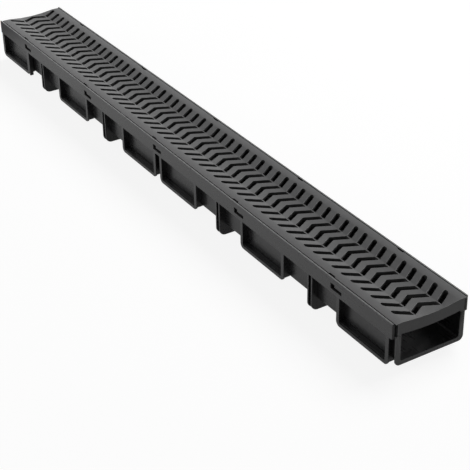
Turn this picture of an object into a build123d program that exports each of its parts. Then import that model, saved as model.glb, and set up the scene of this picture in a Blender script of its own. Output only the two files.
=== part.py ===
from build123d import *
from math import radians, tan
import os

# Channel drain: a one metre plastic channel body with a slotted chevron grate lying in it.
# X runs along the channel, Y across it, Z up. The origin is on the ground under the middle of the
# body. The socket end is at -X and the tongue end at +X. All sizes are in millimetres.

os.makedirs("parts", exist_ok=True)

# Body, overall
length = 1000.0               # rim and skirts, end to end
width = 102.0                 # over the skirts
height = 66.0                 # ground to rim

# Trough
trough_inside = 79.6          # clear width between the walls
trough_wall = 2.0
floor_wall = 2.6
floor_top = 16.5              # height of the floor above the ground
floor_fillet = 3.0            # inside corner between floor and wall
trough_corner = 2.0           # outside corner under the floor

# Ledge that carries the grate, and the skirts that stand on its edges
ledge_bottom = 46.7
ledge_wall = 2.6
skirt_wall = 2.2
post_length = 3.5             # thickened end of each skirt
post_wall = 3.8

# Side frames, hanging from the ledge, in bays that repeat from the middle of the body outward
bay_middle = -2.5             # the bays are centred a little toward the socket end
frame_first = 52.5            # middle of the bays to the first frame each way
frame_pitch = 198.5
frame_length = 94.0
frame_inset = 1.0             # frame face, back from the skirt face
frame_wall = 2.4
frame_upright = 5.4
frame_bottom = 8.5            # height of the lower rail above the ground
frame_rail = 4.6
frame_corner = 6.5
frame_pocket_corner = 1.5
web_wall = 2.4
shelf_bite = 1.3              # depth that the shelf reaches behind the rail

# Feet: pairs of cross plates between the frames
foot_first = 152.5            # middle of the bays to the first foot each way
foot_pitch = 199.5
foot_gap = 4.6
foot_wall = 2.4
foot_inset = 0.4
foot_corner = 8.5

# Claw beside the frame nearest the socket
claw_gap = 0.0
claw_wall = 2.4
claw_depth = 5.6

# Ends: a tongue at +X that fits the socket of the next channel
tongue_length = 2.2
tongue_width = 92.8
tongue_bottom = 11.0
tongue_corner = 6.5
joint_clearance = 0.4
socket_back = 2.4

# Latch windows in the skirts, L-shaped
window_pitch = 200.0
window_sill = 51.6
window_length = 20.4
window_stem = 7.2
window_stem_height = 7.2
window_foot_height = 4.2

# Grate
grate_gap = 1.0               # grate edge to skirt
post_gap = 0.3                # grate edge to the post below it
grate_overhang = 2.9          # edge of the plate beyond the legs
grate_overhang_wall = 1.4
grate_plate = 4.0
grate_leg = 2.2
dish_half_width = 37.4
dish_depth = 3.0
end_plate_wall = 2.4
end_plate_side = 52.2         # height of the end plate's lower edge at the legs
end_plate_middle = 48.5       # and at the centre line

# Slots of the grate: each row is a V between two outer legs
row_pitch = 18.0
row_margin = 10.1             # tongue end of the grate to the first row
row_end_margin = 2.0          # least solid length past the slots at the socket end
chevron_angle = 29.5          # of the slots, from straight across
slot_along = 7.8              # slot width, measured along X
slot_tip = 37.4               # outer end of the outer slots, from the centre line
slot_tip_chamfer = 2.0
rib_offset = 17.8             # thin ribs that part the V from its legs
rib_wall = 1.5
rib_bottom = 53.0

# Stiffeners under the grate, one between each two slot rows, which follow the chevrons
stiffener_wall = 2.4
stiffener_bottom = 54.5

# Notches in the grate's edges, above the latch windows
notch_shift = -12.4           # from the middle of a window
notch_length = 10.8
notch_depth = 1.6

# Depth that a rib or shelf reaches into the wall it joins
root = 0.5

# Heights and half widths that follow from these
half_width = width / 2
half_inside = trough_inside / 2
half_outside = half_inside + trough_wall
floor_bottom = floor_top - floor_wall
ledge_top = ledge_bottom + ledge_wall
rail_top = frame_bottom + frame_rail
frame_face = half_width - frame_inset
frame_back = frame_face - frame_wall
socket_depth = tongue_length + joint_clearance
half_length = length / 2
far_end = -half_length
near_end = half_length
tongue_end = near_end + tongue_length


def bays(first, pitch, reach):
    """Places that repeat both ways from the middle of the bays and stay inside the body's length."""
    room = half_length - abs(bay_middle) - first - reach
    steps = [first + pitch * n for n in range(int(room / pitch) + 1)]
    return sorted([bay_middle - step for step in steps] + [bay_middle + step for step in steps])


frame_places = bays(frame_first, frame_pitch, frame_length / 2)
foot_places = bays(foot_first, foot_pitch, foot_gap / 2 + foot_wall)
window_count = int((length - window_length) / window_pitch) + 1
window_places = [window_pitch * (n - (window_count - 1) / 2) for n in range(window_count)]
claw_place = frame_places[0] + frame_length / 2 + claw_gap + claw_wall / 2

# Grate, placed by the body
grate_top = height
grate_half = half_width - skirt_wall - grate_gap
leg_face = grate_half - grate_overhang
leg_inside = leg_face - grate_leg
plate_bottom = grate_top - grate_plate
dish_at_ribs = dish_depth * (1 - (rib_offset / dish_half_width) ** 2)
post_top = grate_top - grate_overhang_wall - post_gap
grate_far = far_end + socket_depth
grate_length = tongue_end - grate_far
slope = tan(radians(chevron_angle))
row_reach = (slot_tip - rib_offset) * slope + slot_along / 2
row_count = int((grate_length - row_margin - row_reach - row_end_margin) / row_pitch) + 1
row_places = [tongue_end - row_margin - row_pitch * n for n in range(row_count)]


def tongue_outline(clearance):
    """Add the U-shaped outline of the tongue, open upward past the rim, to a sketch."""
    outline_width = tongue_width + 2 * clearance
    bottom = tongue_bottom - clearance
    with Locations((0, bottom)):
        outline = Rectangle(outline_width, height, align=(Align.CENTER, Align.MIN))
    fillet(outline.vertices().group_by(Axis.Y)[0], tongue_corner)


def trough_hollow():
    """Cut the clear inside of the trough, open upward past the rim, from a sketch."""
    with Locations((0, floor_top)):
        RectangleRounded(
            trough_inside,
            height,
            floor_fillet,
            align=(Align.CENTER, Align.MIN),
            mode=Mode.SUBTRACT,
        )


def cross_plate(face, bottom, corner):
    """Add the outline of a plate across the channel, from the ledge down and round the trough."""
    with Locations((0, bottom)):
        plate = Rectangle(2 * face, ledge_bottom - bottom, align=(Align.CENTER, Align.MIN))
    fillet(plate.vertices().group_by(Axis.Y)[0], corner)
    trough_hollow()


# Channel body
with BuildPart() as channel_body:
    # Trough, ledge and skirts in one section
    with BuildSketch(Plane.YZ.offset(far_end)):
        with Locations((0, floor_bottom)):
            RectangleRounded(
                2 * half_outside,
                ledge_top - floor_bottom,
                trough_corner,
                align=(Align.CENTER, Align.MIN),
            )
        with Locations((0, ledge_bottom)):
            Rectangle(width, height - ledge_bottom, align=(Align.CENTER, Align.MIN))
        with Locations((0, ledge_top)):
            Rectangle(
                width - 2 * skirt_wall,
                height - ledge_top,
                align=(Align.CENTER, Align.MIN),
                mode=Mode.SUBTRACT,
            )
        trough_hollow()
    extrude(amount=length)

    # Thickened skirt ends
    with BuildSketch(Plane.XY.offset(ledge_top)):
        post_depth = post_wall - skirt_wall / 2
        with Locations(
            *[
                (end * (near_end - post_length / 2), side * (half_width - post_wall + post_depth / 2))
                for end in (-1, 1)
                for side in (-1, 1)
            ]
        ):
            Rectangle(post_length, post_depth)
    extrude(amount=post_top - ledge_top)

    # Side frames: a strap with rounded lower corners
    with BuildSketch(Plane.XZ.offset(frame_back)):
        with Locations(*[(x, frame_bottom) for x in frame_places]):
            straps = Rectangle(
                frame_length, ledge_bottom - frame_bottom, align=(Align.CENTER, Align.MIN)
            )
        fillet(straps.vertices().group_by(Axis.Y)[0], frame_corner)
        with Locations(*[(x, rail_top) for x in frame_places]):
            RectangleRounded(
                frame_length - 2 * frame_upright,
                ledge_bottom - rail_top + frame_pocket_corner,
                frame_pocket_corner,
                align=(Align.CENTER, Align.MIN),
                mode=Mode.SUBTRACT,
            )
    extrude(amount=frame_wall)

    # Webs from the trough wall to the uprights of each frame
    web_reach = frame_face - frame_wall / 2 - half_inside - trough_wall / 2
    web_middle = half_inside + trough_wall / 2 + web_reach / 2
    upright_offset = (frame_length - frame_upright) / 2
    with BuildSketch(Plane.XY.offset(floor_bottom)):
        with Locations(
            *[(x + end * upright_offset, -web_middle) for x in frame_places for end in (-1, 1)]
        ):
            Rectangle(web_wall, web_reach)
    extrude(amount=ledge_bottom - floor_bottom)

    # Shelf that joins the foot of each frame to the floor's underside
    shelf_reach = frame_back + root - half_inside
    shelf_length = 2 * upright_offset + web_wall
    with BuildSketch(Plane.XY.offset(rail_top - shelf_bite)):
        with Locations(*[(x, -half_inside - shelf_reach / 2) for x in frame_places]):
            Rectangle(shelf_length, shelf_reach)
    extrude(amount=floor_bottom + root - rail_top + shelf_bite)

    # Claw beside the frame nearest the socket
    with BuildSketch(Plane.XY.offset(frame_bottom)):
        with Locations((claw_place, -frame_face + claw_depth / 2)):
            Rectangle(claw_wall, claw_depth)
    extrude(amount=ledge_bottom - frame_bottom)

    # The other side is the same
    mirror(about=Plane.XZ)

    # Feet
    for centre in foot_places:
        for start in (centre - foot_gap / 2 - foot_wall, centre + foot_gap / 2):
            with BuildSketch(Plane.YZ.offset(start)):
                cross_plate(half_width - foot_inset, 0, foot_corner)
            extrude(amount=foot_wall)

    # Tongue
    with BuildSketch(Plane.YZ.offset(near_end)):
        tongue_outline(0)
        with Locations((0, ledge_top)):
            Rectangle(
                2 * width, 2 * height, align=(Align.CENTER, Align.MIN), mode=Mode.SUBTRACT
            )
        trough_hollow()
    extrude(amount=tongue_length)

    # Socket: a closed frame end, with a recess for the next tongue
    with BuildSketch(Plane.YZ.offset(far_end)):
        cross_plate(frame_face, frame_bottom, frame_corner)
    extrude(amount=socket_depth + socket_back)
    with BuildSketch(Plane.YZ.offset(far_end)):
        tongue_outline(joint_clearance)
    extrude(amount=socket_depth, mode=Mode.SUBTRACT)

    # Latch windows, through both skirts
    with BuildSketch(Plane.XZ.offset(-width)):
        with Locations(*[(x - window_length / 2, window_sill) for x in window_places]):
            Rectangle(window_length, window_foot_height, align=(Align.MIN, Align.MIN))
            Rectangle(window_stem, window_stem_height, align=(Align.MIN, Align.MIN))
    extrude(amount=2 * width, mode=Mode.SUBTRACT)

channel_body.part.label = "channel_body"
export_step(channel_body.part, "parts/channel_body.step")


def chevron_x(y):
    """Distance that a chevron lies toward the socket end, at y from the centre line."""
    if abs(y) <= rib_offset:
        return -(rib_offset - abs(y)) * slope
    return -(min(abs(y), slot_tip) - rib_offset) * slope


# One V slot, and the outer slot on the +Y side, about the place of their row
v_end = rib_offset - rib_wall / 2
outer_start = rib_offset + rib_wall / 2
half_slot = slot_along / 2
v_slot = [
    (chevron_x(v_end) - half_slot, -v_end),
    (chevron_x(v_end) + half_slot, -v_end),
    (chevron_x(0) + half_slot, 0),
    (chevron_x(v_end) + half_slot, v_end),
    (chevron_x(v_end) - half_slot, v_end),
    (chevron_x(0) - half_slot, 0),
]
shoulder = slot_tip - slot_tip_chamfer
outer_slot = [
    (chevron_x(outer_start) - half_slot, outer_start),
    (chevron_x(outer_start) + half_slot, outer_start),
    (chevron_x(shoulder) + half_slot, shoulder),
    (chevron_x(slot_tip) + half_slot - slot_tip_chamfer, slot_tip),
    (chevron_x(slot_tip) - half_slot + slot_tip_chamfer, slot_tip),
    (chevron_x(shoulder) - half_slot, shoulder),
]

# A stiffener's outline: the chevron line from leg to leg, and back one wall further on
stiffener_turns = [-leg_inside, -slot_tip, -rib_offset, 0, rib_offset, slot_tip, leg_inside]
stiffener_line = [(chevron_x(y) - stiffener_wall / 2, y) for y in stiffener_turns]
stiffener_back = [(x + stiffener_wall, y) for x, y in reversed(stiffener_line)]
stiffener_places = [x - row_pitch / 2 for x in row_places[:-1]]

# Grate
with BuildPart() as grate:
    # Dished plate between two legs that stand on the ledge
    with BuildSketch(Plane.YZ.offset(grate_far)):
        with BuildLine():
            dish = Polyline(
                (-dish_half_width, grate_top),
                (-rib_offset, grate_top - dish_at_ribs),
                (0, grate_top - dish_depth),
                (rib_offset, grate_top - dish_at_ribs),
                (dish_half_width, grate_top),
            )
            underside = Polyline(
                (dish_half_width, plate_bottom),
                (rib_offset, plate_bottom - dish_at_ribs),
                (0, plate_bottom - dish_depth),
                (-rib_offset, plate_bottom - dish_at_ribs),
                (-dish_half_width, plate_bottom),
            )
            Polyline(
                dish @ 1,
                (grate_half, grate_top),
                (grate_half, grate_top - grate_overhang_wall),
                (leg_face, grate_top - grate_overhang_wall),
                (leg_face, ledge_top),
                (leg_inside, ledge_top),
                (leg_inside, plate_bottom),
                underside @ 0,
            )
            Polyline(
                underside @ 1,
                (-leg_inside, plate_bottom),
                (-leg_inside, ledge_top),
                (-leg_face, ledge_top),
                (-leg_face, grate_top - grate_overhang_wall),
                (-grate_half, grate_top - grate_overhang_wall),
                (-grate_half, grate_top),
                dish @ 0,
            )
        make_face()
    extrude(amount=grate_length)

    # End plates with a dished lower edge
    for x in (grate_far, tongue_end - end_plate_wall):
        with BuildSketch(Plane.YZ.offset(x)):
            with BuildLine():
                lower_arc = ThreePointArc(
                    (-leg_face, end_plate_side), (0, end_plate_middle), (leg_face, end_plate_side)
                )
                Polyline(
                    lower_arc @ 1,
                    (leg_face, plate_bottom - dish_depth + root),
                    (-leg_face, plate_bottom - dish_depth + root),
                    lower_arc @ 0,
                )
            make_face()
            with Locations((0, plate_bottom - dish_depth)):
                Rectangle(
                    2 * leg_face, dish_depth + root, align=(Align.CENTER, Align.MIN)
                )
        extrude(amount=end_plate_wall)

    # Stiffeners along and across
    with BuildSketch(Plane.XY.offset(rib_bottom)):
        with Locations(*[(grate_far, side * rib_offset) for side in (-1, 1)]):
            Rectangle(grate_length, rib_wall, align=(Align.MIN, Align.CENTER))
    extrude(amount=plate_bottom - dish_at_ribs + root - rib_bottom)
    with BuildSketch(Plane.XY.offset(stiffener_bottom)):
        with Locations(*[(x, 0) for x in stiffener_places]):
            Polygon(*stiffener_line, *stiffener_back, align=None)
    extrude(amount=plate_bottom + root - stiffener_bottom)

    # Slots
    with BuildSketch(Plane.XY.offset(grate_top)):
        with Locations(*[(x, 0) for x in row_places]):
            Polygon(*v_slot, align=None)
            Polygon(*outer_slot, align=None)
            Polygon(*[(x, -y) for x, y in outer_slot], align=None)
    extrude(amount=-grate_plate - dish_depth, mode=Mode.SUBTRACT)

    # Edge notches
    with BuildSketch(Plane.XY.offset(grate_top)):
        with Locations(
            *[
                (x + notch_shift, side * (grate_half - notch_depth / 2))
                for x in window_places
                for side in (-1, 1)
            ]
        ):
            Rectangle(notch_length, notch_depth)
    extrude(amount=-grate_overhang_wall, mode=Mode.SUBTRACT)

grate.part.label = "grate"
export_step(grate.part, "parts/grate.step")
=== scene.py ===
import math

import bmesh
import bpy
from mathutils import Matrix, Vector


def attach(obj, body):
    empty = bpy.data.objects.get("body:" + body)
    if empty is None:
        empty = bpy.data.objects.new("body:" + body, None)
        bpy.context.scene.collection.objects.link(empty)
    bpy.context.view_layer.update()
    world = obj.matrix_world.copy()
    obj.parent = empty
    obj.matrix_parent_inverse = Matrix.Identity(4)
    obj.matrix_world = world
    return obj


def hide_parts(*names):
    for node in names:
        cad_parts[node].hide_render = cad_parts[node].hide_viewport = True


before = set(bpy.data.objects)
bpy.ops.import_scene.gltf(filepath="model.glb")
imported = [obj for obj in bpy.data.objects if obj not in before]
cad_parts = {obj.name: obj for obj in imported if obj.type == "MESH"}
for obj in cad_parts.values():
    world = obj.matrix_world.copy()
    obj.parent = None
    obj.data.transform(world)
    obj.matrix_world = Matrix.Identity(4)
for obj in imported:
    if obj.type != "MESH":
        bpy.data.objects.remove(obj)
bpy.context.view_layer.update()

# Camera: the angle of the photograph. Metres and degrees.
CAMERA_PLACE = (1.421637, -0.804154, 0.887472)
CAMERA_AZIMUTH = 58.532
CAMERA_ELEVATION = 31.011
CAMERA_ROLL = -1.150
FOCAL_PIXELS = 1382.505
IMAGE_PIXELS = 470
SENSOR = 36.0
CLIP_START = 0.05
CLIP_END = 60.0

# Floor: its diffuse tone, and its glow for the camera
FLOOR_HALF_SIZE = 12.0
FLOOR_TONE = 0.25
FLOOR_ROUGHNESS = 0.9
FLOOR_WHITE = 0.88
# The floor's glow in reflections. It fades from front (-Y) to back and past its far end, and
# close beside the channel it is weaker, a painted contact shadow. Each pair is a world coordinate
# and the glow, or the share of it, that holds there.
REFLECTED_FRONT = (-0.10, 0.73)
REFLECTED_BACK = (0.04, 0.60)
REFLECTED_BESIDE = (0.040, 0.55)
REFLECTED_AWAY = (0.090, 1.0)
REFLECTED_FAR = (-0.62, 0.25)
REFLECTED_MIDDLE = (-0.50, 1.0)
# Past the near end, the floor isn't darker beside the channel
NEAR_END_START = 0.49
NEAR_END_FULL = 0.52

# World: a wall glow that fades with height, as (degrees above the horizon, strength)
WORLD_LIGHT = 0.05
WALL_LOW = (29.0, 1.65)
WALL_HIGH = (60.0, 0.65)
# The wall's strength toward the far end and toward the near end, as (direction's X, factor)
WALL_FAR = (-0.88, 1.00)
WALL_NEAR = (-0.60, 1.03)
# A glow overhead, as (direction's Z, strength)
OVERHEAD_START = (0.86, 0.0)
OVERHEAD_FULL = (0.99, 0.9)

# Lamps: place in metres, size in metres, power in watts
LAMP_TARGET = (0.0, 0.0, 0.03)
TOP_LAMP = ((-0.3, 2.4, 2.9), (2.4, 2.4), 72.0)
FILL_LAMP = ((-0.8, -3.2, 1.4), (2.6, 1.4), 12.0)

# Moulded edges
BODY_EDGE = 0.0004
GRATE_EDGE = 0.0003
EDGE_ANGLE = 25.0
EDGE_ROOM = 2.0
EDGE_SEGMENTS = 2
WELD = 2e-6
FLAT_ANGLE = 0.5

# Where highlight and shade are painted on the body
UPWARD = 0.9
RIM_HEIGHT = 0.0659
# Painted highlight: the share by which the rim's top is coloured pale
RIM_HIGHLIGHT = 1.6
GAP_INSIDE = 0.0470
GAP_OUTSIDE = 0.0494
GAP_BOTTOM = 0.0500
GAP_SLOPE = 0.85
LEDGE_HEIGHT = 0.0493
LEDGE_MARGIN = 0.0004
SKIRT_INSIDE = 0.0488
WINDOW_BOTTOM = 0.0512
WINDOW_TOP = 0.0592
WINDOW_REACH = 0.45
WINDOW_TURN = 0.8

# Where shade is painted on the grate
GRATE_SIDE = 0.0445
GRATE_END_TURN = 0.9
SLOT_REACH = 0.0375
SLOT_SLOPE = 0.3
SLOT_END_TURN = 0.99

# Feet of the grate's end plates, beside its legs: (low corner, high corner) on the +Y side
END_FEET = (
    ((0.49980, 0.0398, 0.04935), (0.50219, 0.0430, 0.0525)),
    ((-0.49739, 0.0398, 0.04935), (-0.49500, 0.0430, 0.0525)),
)

# Plastic: noise sizes per metre, and tones. The rest is given for each piece.
CLOUD_SCALE = 38.0
CLOUD_DETAIL = 8.0
CLOUD_ROUGHNESS = 0.78
SCUFF_SCALE = 240.0
SCUFF_DETAIL = 3.0
FLOW_STRETCH = (14.0, 420.0, 420.0)
FLOW_SHARE = 0.4
FINE_DETAIL = 2.0
UNEVEN_FULL = 1.4
GLOSS_SPREAD = 0.09
GRAIN_STRENGTH = 0.5
PLASTIC_IOR = 1.45
# Pale colour of rubbed edges, also a painted highlight on edges and on the rim's top
PALE_WEAR_AND_HIGHLIGHT = (0.26, 0.26, 0.263)
# Near-black colour and extra roughness of the painted shade in gaps, on the ledge, in windows and
# slots
PAINTED_SHADE_BLACK = (0.008, 0.008, 0.008)
PAINTED_SHADE_MATT = 0.45

# Sockets of a Mix node that mixes colors
COLOR_A = 6
COLOR_B = 7
COLOR_RESULT = 2


def link_new(name, data):
    """A new object in the scene."""
    thing = bpy.data.objects.new(name, data)
    bpy.context.scene.collection.objects.link(thing)
    return thing


def make_camera():
    azimuth, elevation, roll = (
        math.radians(a) for a in (CAMERA_AZIMUTH, CAMERA_ELEVATION, CAMERA_ROLL)
    )
    back = Vector(
        (
            math.sin(azimuth) * math.cos(elevation),
            -math.cos(azimuth) * math.cos(elevation),
            math.sin(elevation),
        )
    )
    right = Vector((math.cos(azimuth), math.sin(azimuth), 0.0))
    up = back.cross(right)
    across = right * math.cos(roll) + up * math.sin(roll)
    upward = up * math.cos(roll) - right * math.sin(roll)
    data = bpy.data.cameras.new("camera")
    data.sensor_width = SENSOR
    data.lens = FOCAL_PIXELS * SENSOR / IMAGE_PIXELS
    data.clip_start = CLIP_START
    data.clip_end = CLIP_END
    camera = link_new("camera", data)
    turn = Matrix((across, upward, back)).transposed().to_4x4()
    camera.matrix_world = Matrix.Translation(CAMERA_PLACE) @ turn
    bpy.context.scene.camera = camera


def add_block(form, low, high):
    """Add an axis-aligned block between two corners."""
    for vertex in bmesh.ops.create_cube(form, size=1.0)["verts"]:
        vertex.co = [a + (c + 0.5) * (b - a) for a, b, c in zip(low, high, vertex.co)]


def joined(mesh, blocks):
    """The mesh in one skin with blocks. Each is given on +Y and repeated on -Y."""
    form = bmesh.new()
    for low, high in blocks:
        add_block(form, low, high)
        add_block(form, (low[0], -high[1], low[2]), (high[0], -low[1], high[2]))
    added_mesh = bpy.data.meshes.new("blocks")
    form.to_mesh(added_mesh)
    form.free()
    base = link_new("base", mesh)
    added = link_new("blocks", added_mesh)
    union = base.modifiers.new("union", "BOOLEAN")
    union.operation = "UNION"
    union.solver = "EXACT"
    union.object = added
    depsgraph = bpy.context.evaluated_depsgraph_get()
    result = bpy.data.meshes.new_from_object(base.evaluated_get(depsgraph))
    bpy.data.objects.remove(base)
    bpy.data.objects.remove(added)
    return result


def body_marks(middle, normal):
    """Painted highlight on the rim's top, and painted shade in the gap beside the grate, on the
    ledge and in the latch windows.
    """
    side = abs(middle.y)
    faces_up = normal.z > UPWARD
    # Painted highlight: the rim's top faces are coloured pale
    rim_highlight = RIM_HIGHLIGHT if middle.z > RIM_HEIGHT and faces_up else 0.0
    # Painted shade: faces in the gap, on the ledge and in the latch windows are coloured near
    # black
    in_gap = GAP_INSIDE < side < GAP_OUTSIDE and middle.z > GAP_BOTTOM and normal.z < GAP_SLOPE
    on_ledge = abs(middle.z - LEDGE_HEIGHT) < LEDGE_MARGIN and faces_up
    in_window = (
        side > SKIRT_INSIDE
        and WINDOW_BOTTOM < middle.z < WINDOW_TOP
        and abs(middle.x) < WINDOW_REACH
        and abs(normal.y) < WINDOW_TURN
    )
    return rim_highlight, 1.0 if in_gap or on_ledge or in_window else 0.0


def grate_marks(middle, normal):
    """Painted shade on the walls of the slots and on the faces beside the gap. Its first value,
    for the rim's painted highlight, is always 0.
    """
    side = abs(middle.y)
    # Painted shade: slot walls and faces beside the gap are coloured near black
    slot_wall = side < SLOT_REACH and normal.z < SLOT_SLOPE and normal.x < SLOT_END_TURN
    in_gap = side > GRATE_SIDE and normal.z < GAP_SLOPE and abs(normal.x) < GRATE_END_TURN
    return 0.0, 1.0 if slot_wall or in_gap else 0.0


def moulded(node, name, width, marks, blocks=()):
    """A copy of a CAD node with really rounded outer edges.

    Its faces carry two attributes: edge, for paler rubbed edges and a painted highlight, and a
    second one, for painted shade. marks gives both from a face's middle and normal, and every
    rounded face has an edge of at least 1. Inner corners, and edges beside a very short one, stay
    sharp.
    """
    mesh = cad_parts[node].data.copy()
    form = bmesh.new()
    form.from_mesh(mesh)
    bmesh.ops.remove_doubles(form, verts=form.verts, dist=WELD)
    if blocks:
        form.to_mesh(mesh)
        mesh = joined(mesh, blocks)
        form.clear()
        form.from_mesh(mesh)
        bmesh.ops.remove_doubles(form, verts=form.verts, dist=WELD)
    mesh.name = name
    edge = form.faces.layers.float.new("edge")
    painted_shade = form.faces.layers.float.new("painted_shade")
    bmesh.ops.dissolve_limit(
        form,
        angle_limit=math.radians(FLAT_ANGLE),
        verts=form.verts,
        edges=form.edges,
        use_dissolve_boundaries=False,
    )
    room = width * EDGE_ROOM
    outer = []
    for line in form.edges:
        if line.calc_face_angle(0.0) > math.radians(EDGE_ANGLE):
            neighbours = (near for corner in line.verts for near in corner.link_edges)
            if line.is_convex and all(near.calc_length() > room for near in neighbours):
                outer.append(line)
            else:
                line.smooth = False
    rounded = bmesh.ops.bevel(
        form,
        geom=outer,
        offset=width,
        offset_type="OFFSET",
        segments=EDGE_SEGMENTS,
        profile=0.5,
        affect="EDGES",
        clamp_overlap=False,
    )
    for face in rounded["faces"]:
        face[edge] = 1.0
    for face in form.faces:
        face.smooth = True
        rim_highlight, shade = marks(face.calc_center_bounds(), face.normal)
        face[edge] = max(face[edge], rim_highlight)
        face[painted_shade] = shade
    form.to_mesh(mesh)
    form.free()
    mesh.materials.clear()
    piece = link_new(name, mesh)
    weighted = piece.modifiers.new("weighted", "WEIGHTED_NORMAL")
    weighted.keep_sharp = True
    weighted.weight = 100
    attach(piece, "root")
    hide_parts(node)
    return piece


def math_node(tree, operation, first, second=0.0):
    """A Math node's output. Each input is a socket or a number."""
    node = tree.nodes.new("ShaderNodeMath")
    node.operation = operation
    for socket, value in zip(node.inputs, (first, second)):
        if isinstance(value, (int, float)):
            socket.default_value = value
        else:
            tree.links.new(value, socket)
    return node.outputs["Value"]


def map_range(tree, value, start, end, smooth=False):
    """A value mapped between two pairs of (value in, value out)."""
    node = tree.nodes.new("ShaderNodeMapRange")
    if smooth:
        node.interpolation_type = "SMOOTHSTEP"
    node.inputs["From Min"].default_value, node.inputs["To Min"].default_value = start
    node.inputs["From Max"].default_value, node.inputs["To Max"].default_value = end
    tree.links.new(value, node.inputs["Value"])
    return node.outputs["Result"]


def noise(tree, vector, scale, detail, roughness=0.5):
    node = tree.nodes.new("ShaderNodeTexNoise")
    node.inputs["Scale"].default_value = scale
    node.inputs["Detail"].default_value = detail
    node.inputs["Roughness"].default_value = roughness
    tree.links.new(vector, node.inputs["Vector"])
    return node.outputs["Fac"]


def mix_colors(tree, factor, first, second):
    """A color between two. Each is a socket or three numbers."""
    node = tree.nodes.new("ShaderNodeMix")
    node.data_type = "RGBA"
    tree.links.new(factor, node.inputs["Factor"])
    for index, color in ((COLOR_A, first), (COLOR_B, second)):
        if isinstance(color, tuple):
            node.inputs[index].default_value = (*color, 1.0)
        else:
            tree.links.new(color, node.inputs[index])
    return node.outputs[COLOR_RESULT]


def face_attribute(tree, name):
    node = tree.nodes.new("ShaderNodeAttribute")
    node.attribute_name = name
    return node.outputs["Fac"]


def plastic(name, dark, light, rough, grain, grain_depth):
    """Moulded plastic: cloudy tone and gloss, flow marks, fine grain, and paler edges.

    Edges are paler by rubbing and partly as a painted highlight; the rim's top is a painted
    highlight. Faces with painted shade, such as the walls of slots, are blacker and more matt.
    """
    material = bpy.data.materials.new(name)
    material.use_nodes = True
    tree = material.node_tree
    shader = tree.nodes["Principled BSDF"]
    place = tree.nodes.new("ShaderNodeTexCoord").outputs["Object"]
    painted_shade = face_attribute(tree, "painted_shade")

    cloud = noise(tree, place, CLOUD_SCALE, CLOUD_DETAIL, CLOUD_ROUGHNESS)
    tone = mix_colors(tree, cloud, dark, light)
    scuff = noise(tree, place, SCUFF_SCALE, SCUFF_DETAIL)
    # Paler edges: rubbing under scuff noise and partly a painted highlight; the rim's top is a
    # painted highlight
    wear_and_highlight = math_node(tree, "MULTIPLY", face_attribute(tree, "edge"), scuff)
    pale = mix_colors(tree, wear_and_highlight, tone, PALE_WEAR_AND_HIGHLIGHT)
    # Painted shade: the marked faces turn near black here, and more matt below
    shaded = mix_colors(tree, painted_shade, pale, PAINTED_SHADE_BLACK)
    tree.links.new(shaded, shader.inputs["Base Color"])

    stretch = tree.nodes.new("ShaderNodeVectorMath")
    stretch.operation = "MULTIPLY"
    stretch.inputs[1].default_value = FLOW_STRETCH
    tree.links.new(place, stretch.inputs[0])
    streaks = noise(tree, stretch.outputs["Vector"], 1.0, FINE_DETAIL)
    faint = math_node(tree, "MULTIPLY", streaks, FLOW_SHARE)
    uneven = math_node(tree, "ADD", cloud, faint)
    gloss = map_range(
        tree, uneven, (0.0, rough - GLOSS_SPREAD), (UNEVEN_FULL, rough + GLOSS_SPREAD)
    )
    matt = math_node(tree, "MULTIPLY", painted_shade, PAINTED_SHADE_MATT)
    tree.links.new(math_node(tree, "ADD", gloss, matt), shader.inputs["Roughness"])

    bump = tree.nodes.new("ShaderNodeBump")
    bump.inputs["Strength"].default_value = GRAIN_STRENGTH
    bump.inputs["Distance"].default_value = grain_depth
    tree.links.new(noise(tree, place, grain, FINE_DETAIL), bump.inputs["Height"])
    tree.links.new(bump.outputs["Normal"], shader.inputs["Normal"])
    shader.inputs["IOR"].default_value = PLASTIC_IOR
    return material


def area_lamp(name, place, size, power):
    """A rectangular lamp that points at the object."""
    data = bpy.data.lights.new(name, "AREA")
    data.shape = "RECTANGLE"
    data.size, data.size_y = size
    data.energy = power
    lamp = link_new(name, data)
    lamp.location = place
    lamp.rotation_mode = "QUATERNION"
    lamp.rotation_quaternion = (Vector(LAMP_TARGET) - Vector(place)).to_track_quat("-Z", "Y")


def shown(tree, seen, reflected):
    """The strength seen by camera rays, and the one that gloss and transmission rays see."""
    ray = tree.nodes.new("ShaderNodeLightPath").outputs
    through = math_node(tree, "MAXIMUM", ray["Is Glossy Ray"], ray["Is Transmission Ray"])
    mirrored = math_node(tree, "MULTIPLY", through, reflected)
    direct = math_node(tree, "MULTIPLY", ray["Is Camera Ray"], seen)
    return math_node(tree, "ADD", mirrored, direct)


def axes(tree, output):
    """The X, Y and Z of a texture coordinate, by name."""
    place = tree.nodes.new("ShaderNodeTexCoord")
    parts = tree.nodes.new("ShaderNodeSeparateXYZ")
    tree.links.new(place.outputs[output], parts.inputs["Vector"])
    return parts.outputs


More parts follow.
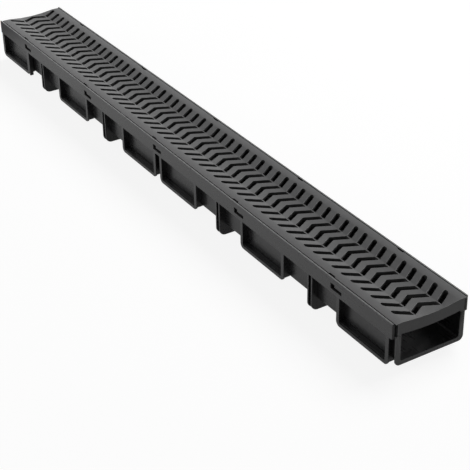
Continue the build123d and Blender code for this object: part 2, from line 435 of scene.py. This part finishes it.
def make_floor():
    """White paper, with a glow in reflections that is weaker close beside the channel, as a
    painted contact shadow.
    """
    mesh = bpy.data.meshes.new("floor")
    form = bmesh.new()
    bmesh.ops.create_grid(form, x_segments=1, y_segments=1, size=FLOOR_HALF_SIZE)
    form.to_mesh(mesh)
    form.free()
    link_new("floor", mesh)
    material = bpy.data.materials.new("floor_paper")
    material.use_nodes = True
    tree = material.node_tree
    shader = tree.nodes["Principled BSDF"]
    shader.inputs["Base Color"].default_value = (FLOOR_TONE, FLOOR_TONE, FLOOR_TONE, 1.0)
    shader.inputs["Roughness"].default_value = FLOOR_ROUGHNESS
    shader.inputs["Specular IOR Level"].default_value = 0.0
    shader.inputs["Emission Color"].default_value = (1.0, 1.0, 1.0, 1.0)
    spot = axes(tree, "Object")
    depth = map_range(tree, spot["Y"], REFLECTED_FRONT, REFLECTED_BACK)
    far_end = map_range(tree, spot["X"], REFLECTED_FAR, REFLECTED_MIDDLE)
    side = math_node(tree, "ABSOLUTE", spot["Y"])
    # Painted contact shadow: the reflected glow is weaker close beside the channel
    beside = map_range(tree, side, REFLECTED_BESIDE, REFLECTED_AWAY)
    near_end = map_range(tree, spot["X"], (NEAR_END_START, 0.0), (NEAR_END_FULL, 1.0))
    shade = math_node(tree, "MAXIMUM", beside, near_end)
    graded = math_node(tree, "MULTIPLY", depth, far_end)
    mirrored = math_node(tree, "MULTIPLY", graded, shade)
    tree.links.new(shown(tree, FLOOR_WHITE, mirrored), shader.inputs["Emission Strength"])
    mesh.materials.append(material)


def make_world():
    """A soft wall glow, one overhead, and a weak light on everything."""
    world = bpy.data.worlds.new("studio")
    bpy.context.scene.world = world
    world.use_nodes = True
    tree = world.node_tree
    sky = tree.nodes["Background"]
    sky.inputs["Color"].default_value = (1.0, 1.0, 1.0, 1.0)
    direction = axes(tree, "Generated")
    across = math_node(tree, "ABSOLUTE", direction["Y"])
    height = math_node(tree, "ARCTAN2", direction["Z"], across)
    low, high = ((math.radians(angle), strength) for angle, strength in (WALL_LOW, WALL_HIGH))
    wall = map_range(tree, height, low, high, smooth=True)
    along = map_range(tree, direction["X"], WALL_FAR, WALL_NEAR)
    overhead = map_range(tree, direction["Z"], OVERHEAD_START, OVERHEAD_FULL, smooth=True)
    bright = math_node(tree, "ADD", math_node(tree, "MULTIPLY", along, wall), overhead)
    glow = math_node(tree, "MULTIPLY", shown(tree, 1.0, 1.0), bright)
    tree.links.new(math_node(tree, "ADD", glow, WORLD_LIGHT), sky.inputs["Strength"])


body = moulded("channel_body", "channel_moulding", BODY_EDGE, body_marks)
grate = moulded("grate", "grate_moulding", GRATE_EDGE, grate_marks, END_FEET)
body.data.materials.append(
    plastic(
        "body_black",
        dark=(0.018, 0.018, 0.0192),
        light=(0.048, 0.048, 0.0500),
        rough=0.28,
        grain=900.0,
        grain_depth=0.00014,
    )
)
grate.data.materials.append(
    plastic(
        "grate_black",
        dark=(0.024, 0.024, 0.0252),
        light=(0.062, 0.062, 0.0640),
        rough=0.31,
        grain=780.0,
        grain_depth=0.00016,
    )
)

make_camera()
make_floor()
make_world()
area_lamp("top_lamp", *TOP_LAMP)
area_lamp("fill_lamp", *FILL_LAMP)
bpy.context.scene.view_settings.view_transform = "Standard"
